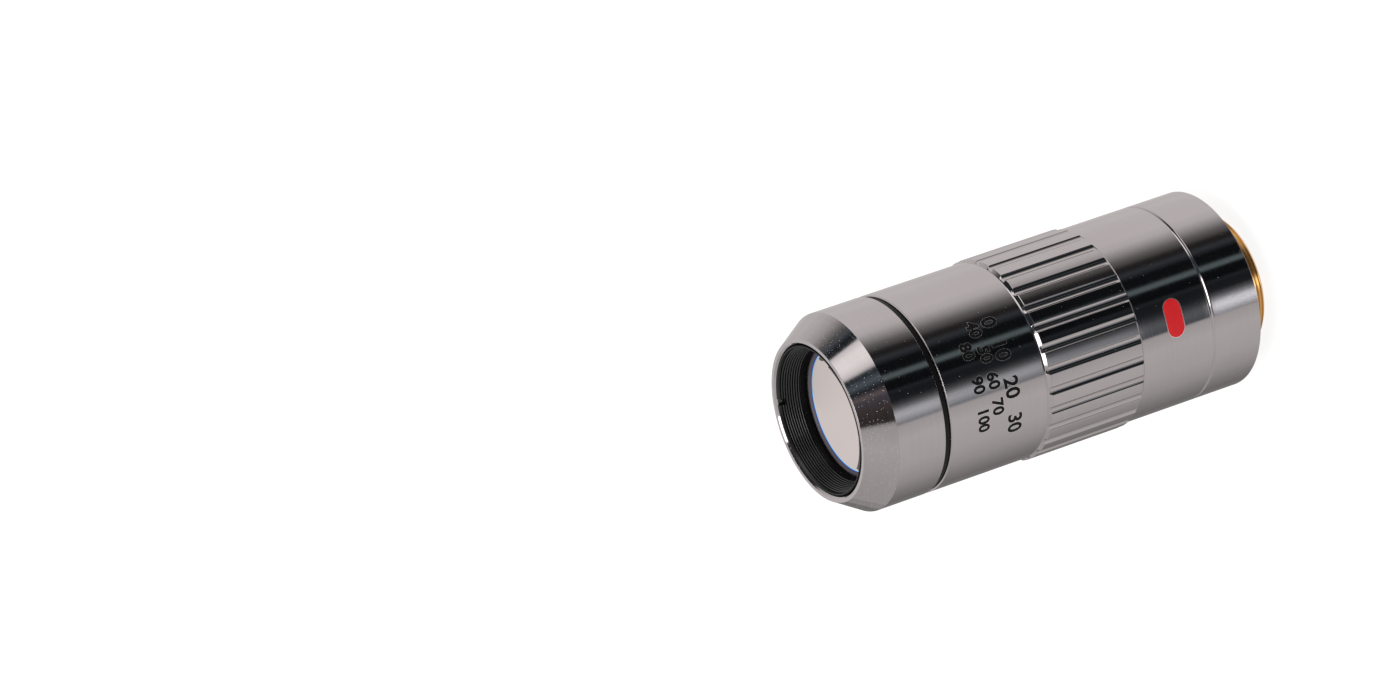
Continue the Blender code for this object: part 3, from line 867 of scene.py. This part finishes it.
# Inner parts that aren't black
INNER = {
    "main_barrel": brass, "parfocal_shim": brass,
    "set_screw_1": steel, "set_screw_2": steel, "set_screw_3": steel,
    "second_lens": glass, "mid_crown_lens": glass, "mid_flint_lens": glass,
    "rear_singlet_lens": glass, "rear_crown_lens": glass,
}
for node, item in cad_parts.items():
    if item.hide_render:
        continue
    item.data.materials.clear()
    item.data.materials.append(INNER.get(node, black_grain))


# Studio

def camera_side(bearing):
    """Azimuth of a bearing from the camera's side."""
    return CAMERA_AZIMUTH + bearing


def stage_grid(name, columns, rows, place, material):
    """A sheet of the studio with its own (u, v) at each point."""
    mesh = bpy.data.meshes.new(name)
    across = len(columns)
    points = [place(u, v) for v in rows for u in columns]
    faces = []
    for row in range(len(rows) - 1):
        for column in range(across - 1):
            corner = row * across + column
            faces.append((corner, corner + 1, corner + across + 1, corner + across))
    mesh.from_pydata(points, [], faces)
    layer = mesh.uv_layers.new(name="place")
    values = [(u, v) for v in rows for u in columns]
    for loop in mesh.loops:
        layer.data[loop.index].uv = values[loop.vertex_index]
    mesh.materials.append(material)
    item = new_object(name, mesh)
    return item


def only_in_metal(item):
    """Seen only as a reflection in shiny surfaces, as a card beside the camera is."""
    item.visible_camera = False
    item.visible_diffuse = False
    item.visible_transmission = False
    item.visible_shadow = False
    item.visible_volume_scatter = False


def card_material(name, build):
    """Light over a card. build(tree, u, v) gives its colour."""
    material, tree = glowing_material(name)
    coords = add_node(tree, "ShaderNodeUVMap", uv_map="place")
    split = add_node(tree, "ShaderNodeSeparateXYZ", {0: coords.outputs[0]})
    colour = build(tree, split.outputs[0], split.outputs[1])
    emission = add_node(tree, "ShaderNodeEmission", {"Color": colour, "Strength": 1.0})
    output = add_node(tree, "ShaderNodeOutputMaterial")
    tree.links.new(emission.outputs[0], output.inputs[0])
    return material


# Tints of the light, the bearing at which the table's card ends on each side, and the level of the pale room
WARM = (1.0, 0.948, 0.948)
COOL = (0.87, 0.98, 1.14)
STEEL = (0.76, 0.97, 1.14)
TEAL = (0.80, 1.0, 1.03)
NEUTRAL = (0.985, 0.995, 1.045)
UMBER = (1.0, 0.80, 0.82)
MAUVE = (0.92, 0.84, 1.0)
SPAN = 88.0
PALE = 0.8


def tinted(level, tint=WARM):
    return tuple(level * part for part in tint)


def bearing_ramp(tree, u, span, stops):
    """Light by bearing, on a card whose u runs from -span to span. A stop is (bearing, level, tint)."""
    placed = [((bearing + span) / (2 * span), tinted(level, tint)) for bearing, level, tint in stops]
    return ramp(tree, u, placed)


def table_light(tree, u, v):
    """What the sleeves mirror: the pale table, with the dark gap on the camera's side and a soft lustre.
    v is the distance from the object in metres."""
    far_start = 0.4
    far_rise = 8.0
    far_level = 0.40
    ramp_rate = 5.0
    grain_across = 200.0
    grain_outward = 2400.0
    base = bearing_ramp(tree, u, SPAN, (
        (-88, 0.22, WARM), (-73, 0.225, WARM), (-64, 0.34, WARM), (-54, 0.51, WARM), (-42, 0.65, WARM),
        (-26, 0.715, WARM), (-17.3, 0.60, WARM), (-16.8, 0.08, COOL), (-10, 0.055, COOL), (-5, 0.022, COOL),
        (0, 0.018, COOL), (2, 0.031, COOL), (3.2, 0.007, COOL), (8.2, 0.008, COOL), (9.6, 0.17, TEAL),
        (11.0, 0.165, TEAL), (12.6, 0.009, COOL), (17.8, 0.009, COOL), (21.5, 0.058, COOL), (24, 0.024, WARM),
        (26, 0.028, WARM), (28, 0.10, WARM), (31, 0.20, WARM), (35, 0.45, WARM), (40, 0.75, WARM),
        (46, 0.84, WARM), (68, 0.80, WARM), (75, 0.69, WARM), (88, 0.60, WARM)))
    far = calc(tree, "MULTIPLY", calc(tree, "SUBTRACT", v, far_start), far_rise, clamp=True)
    far_left = calc(tree, "MULTIPLY", far, calc(tree, "LESS_THAN", u, 0.5))
    base = blend_colour(tree, far_left, base, (*tinted(far_level), 1))
    lustre = bearing_ramp(tree, u, SPAN, (
        (-17.0, 0.0, NEUTRAL), (-16.9, 0.20, NEUTRAL), (-14, 0.50, NEUTRAL), (-12, 0.65, NEUTRAL),
        (-10, 0.54, NEUTRAL), (-8, 0.205, NEUTRAL), (-6, 0.06, NEUTRAL), (-3.5, 0.0, NEUTRAL)))
    place = calc(tree, "MULTIPLY", v, ramp_rate)
    share = ramp(tree, place, [(0.0, 1.7), (0.1235, 1.7), (0.1285, 0.15), (0.26, 0.15), (0.272, 0.45),
                               (0.45, 0.50), (0.465, 0.78), (0.67, 0.80), (0.69, 1.0)])
    spot = add_node(tree, "ShaderNodeCombineXYZ", {
        0: calc(tree, "MULTIPLY", u, grain_across), 1: calc(tree, "MULTIPLY", v, grain_outward)})
    streaks = add_node(tree, "ShaderNodeTexNoise", {
        "Vector": spot.outputs[0], "Scale": 1.0, "Detail": 3.0, "Roughness": 0.65})
    grain = calc(tree, "MULTIPLY_ADD", streaks.outputs[0], 3.0, -0.5)
    lustre = blend_colour(tree, 1.0, lustre, share, "MULTIPLY")
    lustre = blend_colour(tree, 1.0, lustre, grain, "MULTIPLY")
    return blend_colour(tree, 1.0, base, lustre, "ADD")


def sheet_place(u, v, radius, height):
    """A point of a flat sheet. u picks a bearing on a cylinder of this radius, in mm, and v is the distance
    from there, in metres, in the direction that the camera sees mirrored at that bearing."""
    bearing = u * 2 * SPAN - SPAN
    start = polar(radius, camera_side(bearing))
    run = polar(v / MM, camera_side(2 * bearing))
    return (start + run + Vector((0, 0, height))) * MM


def table_place(u, v):
    lift = 0.4
    return sheet_place(u, v, BODY, lift)


def foot_light(tree, u, v):
    """What the brass thread mirrors: the table under the cap, with a highlight and a dark gap."""
    return bearing_ramp(tree, u, SPAN, (
        (-88, 0.45, WARM), (-30, 0.60, WARM), (-18, 0.68, WARM), (-14.5, 1.3, WARM), (-11, 2.6, WARM),
        (-7, 1.9, WARM), (-4, 0.5, WARM), (-1, 0.13, WARM), (12, 0.11, WARM), (16, 0.19, WARM),
        (22, 0.36, WARM), (30, 0.48, WARM), (40, 0.72, WARM), (88, 0.70, WARM)))


def foot_place(u, v):
    inner = 13.1
    lift = 0.3
    return sheet_place(u, v, inner, lift)


# Wall: its radius in metres and its top as an elevation. A pale floor shows low on it from HORIZON_START on,
# an angle from the wall's seam. It reaches HORIZON_HEIGHT up there, and less by HORIZON_TILT per degree.
WALL_RADIUS = 1.6
WALL_TOP = 72.0
HORIZON_START = 254
HORIZON_SOFT = 2
HORIZON_HEIGHT = 13
HORIZON_TILT = 0.25
HORIZON_END = HORIZON_HEIGHT + HORIZON_TILT * (HORIZON_START + HORIZON_SOFT)


def at_elevation(degrees):
    """The wall's v at an elevation."""
    return degrees / WALL_TOP


def wall_light(tree, u, v):
    """What bevels and chamfers mirror: a dark gap at the camera, a bright strip beside it and pale walls.
    An angle over 360 runs round from the wall's seam."""
    floor_level = 0.95
    fade = 3
    low = bearing_ramp(tree, u, 180, (
        (-180, 0.68, WARM), (-155, 0.66, WARM), (-135, 0.50, WARM), (-85, 0.60, WARM), (-58, 0.66, WARM),
        (-34, 0.56, WARM), (-30, 0.38, WARM), (-28, 0.045, UMBER), (-20, 0.05, UMBER), (-10, 0.065, UMBER),
        (3, 0.09, MAUVE), (8, 0.18, UMBER), (13, 0.055, MAUVE), (16.5, 0.026, STEEL), (24.5, 0.15, STEEL),
        (29, 0.10, STEEL), (33, 0.040, STEEL), (37, 0.07, STEEL), (38.7, 0.62, WARM), (42, 1.02, WARM),
        (47, 1.2, WARM), (53, 1.34, WARM), (64, 1.34, WARM), (71, 1.08, WARM), (73.8, 0.9, WARM),
        (75, 0.05, COOL), (82, 0.02, COOL), (89, 0.11, COOL), (95, 0.14, WARM), (111, 0.56, WARM),
        (125, 0.72, WARM), (180, 0.80, WARM)))
    under = calc(tree, "MULTIPLY_ADD", u, HORIZON_TILT * 360, calc(tree, "MULTIPLY", v, WALL_TOP))
    near_floor = add_node(tree, "ShaderNodeMapRange", {
        "Value": under, "From Min": HORIZON_END + HORIZON_SOFT, "From Max": HORIZON_END})
    beside = ramp(tree, u, [(HORIZON_START / 360, 0.0), ((HORIZON_START + HORIZON_SOFT) / 360, 1.0)])
    floor_share = calc(tree, "MULTIPLY", near_floor.outputs[0], beside)
    low = blend_colour(tree, floor_share, low, (*tinted(floor_level), 1))
    high = bearing_ramp(tree, u, 180, (
        (-180, PALE, WARM), (-120, 0.60, WARM), (-90, 0.66, WARM), (-40, 0.70, WARM), (13, 0.60, WARM),
        (16, 0.03, COOL), (104, 0.03, COOL), (112, 0.30, WARM), (122, 0.60, WARM), (140, PALE, WARM),
        (180, PALE, WARM)))
    lowered = ramp(tree, u, [(230 / 360, 0.0), (250 / 360, at_elevation(8))])
    height = calc(tree, "ADD", v, lowered)
    rise = {"Value": height, "From Min": at_elevation(38), "From Max": at_elevation(47)}
    above = add_node(tree, "ShaderNodeMapRange", rise, interpolation_type="SMOOTHSTEP")
    ceiling = ramp(tree, u, [(195 / 360, at_elevation(66)), (245 / 360, at_elevation(59)),
                             (280 / 360, at_elevation(45)), (300 / 360, at_elevation(38))])
    overhead = calc(tree, "MULTIPLY", calc(tree, "SUBTRACT", v, ceiling), WALL_TOP / fade, clamp=True)
    high = blend_colour(tree, overhead, high, (*tinted(PALE), 1))
    behind = ramp(tree, u, [(40 / 360, 1.0), (65 / 360, 0.0), (295 / 360, 0.0), (320 / 360, 1.0)])
    over_table = add_node(tree, "ShaderNodeMapRange", {
        "Value": v, "From Min": at_elevation(12), "From Max": at_elevation(17)})
    share = calc(tree, "MAXIMUM", above.outputs[0], calc(tree, "MULTIPLY", behind, over_table.outputs[0]))
    return blend_colour(tree, share, low, high)


def wall_place(u, v):
    height = WALL_RADIUS * math.tan(math.radians(v * WALL_TOP))
    return polar(WALL_RADIUS, camera_side(u * 360 - 180), height)


def even_shares(count):
    return [index / count for index in range(count + 1)]


# Distances of the sheets' rows from the object, in metres
TABLE_ROWS = (0.0065, 0.01, 0.015, 0.02, 0.025, 0.033, 0.045, 0.053, 0.066, 0.08, 0.092, 0.11, 0.135, 0.16,
              0.2, 0.3, 0.5, 0.8, 1.2, 1.55)
FOOT_ROWS = (0.0, 0.002, 0.004, 0.006, 0.009)

for name, columns, rows, place, light in (
        ("table", 176, TABLE_ROWS, table_place, table_light),
        ("foot", 88, FOOT_ROWS, foot_place, foot_light),
        ("wall", 180, even_shares(18), wall_place, wall_light)):
    glow = card_material(f"{name}_light", light)
    only_in_metal(stage_grid(f"{name}_card", even_shares(columns), rows, place, glow))


def by_ray(tree, lit, seen, mirrored, output_kind):
    """One shader where light is gathered, one for the camera and through glass, and one for mirror images."""
    rays = add_node(tree, "ShaderNodeLightPath")
    direct = calc(tree, "MAXIMUM", rays.outputs["Is Camera Ray"], rays.outputs["Is Transmission Ray"])
    first = add_node(tree, "ShaderNodeMixShader", {0: direct, 1: lit.outputs[0], 2: seen.outputs[0]})
    second = add_node(tree, "ShaderNodeMixShader", {
        0: rays.outputs["Is Glossy Ray"], 1: first.outputs[0], 2: mirrored.outputs[0]})
    output = add_node(tree, output_kind)
    tree.links.new(second.outputs[0], output.inputs[0])


def build_floor():
    """A plain white floor: lit only a little and mostly white by itself, so that the shadow stays faint."""
    own_white = 0.88
    radius = 8.0
    drop = 0.00002
    material, tree = glowing_material("floor")
    lit = add_node(tree, "ShaderNodeBsdfDiffuse", {"Color": (0.8, 0.8, 0.8, 1)})
    faint = add_node(tree, "ShaderNodeBsdfDiffuse", {"Color": (0.2, 0.2, 0.2, 1)})
    white = add_node(tree, "ShaderNodeEmission", {"Color": (1, 1, 1, 1), "Strength": own_white})
    pale = add_node(tree, "ShaderNodeEmission", {"Color": (*tinted(PALE), 1), "Strength": 1.0})
    shown = add_node(tree, "ShaderNodeAddShader", {0: faint.outputs[0], 1: white.outputs[0]})
    by_ray(tree, lit, shown, pale, "ShaderNodeOutputMaterial")
    mesh = bpy.data.meshes.new("floor")
    shape = bmesh.new()
    bmesh.ops.create_circle(shape, cap_ends=True, segments=64, radius=radius)
    shape.to_mesh(mesh)
    shape.free()
    mesh.materials.append(material)
    floor = new_object("floor", mesh)
    floor.location.z = -drop


def build_world():
    """A white room that lights the object softly and looks paler in metal."""
    soft_fill = 0.45
    world = bpy.data.worlds.new("studio")
    bpy.context.scene.world = world
    world.use_nodes = True
    tree = world.node_tree
    tree.nodes.clear()
    fill = add_node(tree, "ShaderNodeBackground", {"Color": (1, 1, 1, 1), "Strength": soft_fill})
    white = add_node(tree, "ShaderNodeBackground", {"Color": (1, 1, 1, 1), "Strength": 1.0})
    pale = add_node(tree, "ShaderNodeBackground", {"Color": (*tinted(PALE), 1), "Strength": 1.0})
    by_ray(tree, fill, white, pale, "ShaderNodeOutputWorld")


def build_lamp(name, bearing, elevation, distance, size, power, glint=False):
    """A soft lamp. Without a glint it lights the object but isn't mirrored in it.
    distance and size are in metres, and power in watts."""
    lamp = bpy.data.lights.new(name, "AREA")
    lamp.shape = "DISK"
    lamp.size = size
    lamp.energy = power
    item = new_object(name, lamp)
    centre = Vector((0, 0, nose_high * MM / 2))
    away = polar(1.0, camera_side(bearing)) * math.cos(math.radians(elevation))
    away.z = math.sin(math.radians(elevation))
    item.location = centre + away * distance
    item.rotation_euler = away.to_track_quat("Z", "Y").to_euler()
    item.visible_glossy = glint


def build_camera():
    data = bpy.data.cameras.new("camera")
    data.sensor_width = CAMERA_SENSOR
    data.lens = CAMERA_LENS
    item = new_object("camera", data)
    side = polar(1.0, CAMERA_AZIMUTH + 90)
    front = polar(1.0, CAMERA_AZIMUTH)
    up = Vector((0, 0, 1))

    def world_axis(parts):
        return (side * parts[0] + front * parts[1] + up * parts[2]).normalized()

    axes = [world_axis(parts) for parts in (CAMERA_RIGHT, CAMERA_UP, CAMERA_BACK)]
    turn = Matrix(axes).transposed()
    place = front * CAMERA_REACH + up * (nose_high * MM + CAMERA_HEIGHT)
    item.matrix_world = Matrix.Translation(place) @ turn.to_4x4()
    bpy.context.scene.camera = item


build_floor()
build_world()
build_lamp("key", bearing=-7, elevation=63, distance=1.0, size=0.45, power=1.8, glint=True)
build_lamp("front_fill", bearing=-20, elevation=50, distance=1.2, size=0.6, power=3.0)
build_lamp("right_fill", bearing=100, elevation=58, distance=1.5, size=0.8, power=7.0)
build_lamp("left_fill", bearing=-110, elevation=55, distance=1.6, size=0.9, power=7.0)
build_camera()
bpy.context.scene.view_settings.view_transform = "Standard"
